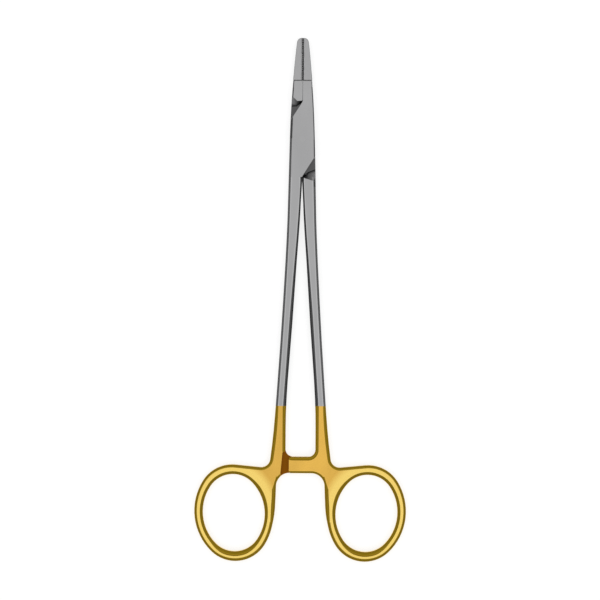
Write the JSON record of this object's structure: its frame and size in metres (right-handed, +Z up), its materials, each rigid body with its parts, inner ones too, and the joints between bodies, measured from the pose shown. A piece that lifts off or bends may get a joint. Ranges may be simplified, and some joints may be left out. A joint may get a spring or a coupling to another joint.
{
  "type": "surgical needle holder",
  "caption": "Straight scissor-shaped needle holder with a box lock, gripping inserts in short jaws, long shanks, a toothed ratchet and finger rings.",
  "frame": {"origin": "under the middle of the whole instrument, on the plane that the box lock rests on", "axes": "+Y towards the jaw tips, +X to the right seen from above, +Z up through the thickness"},
  "size_m": [0.0808, 0.2, 0.0056],
  "materials": {
    "steel": "satin stainless steel, with polished gold plating on the rings, the ratchet and the lower shanks",
    "pin_steel": "satin stainless steel, ground flush",
    "carbide": "sintered hard metal with a cross-cut gripping face"
  },
  "bodies": {
    "box_side": {"box_half": "steel", "lock_pin": "pin_steel", "right_jaw_insert": "carbide"},
    "tongue_side": {"tongue_half": "steel", "left_jaw_insert": "carbide"}
  },
  "joints": [
    {"name": "box_lock", "type": "hinge", "parent": "box_side", "child": "tongue_side", "pos_m": [0, 0.0613, 0.0028], "axis": [0, 0, 1], "range_deg": [0, 30]}
  ]
}
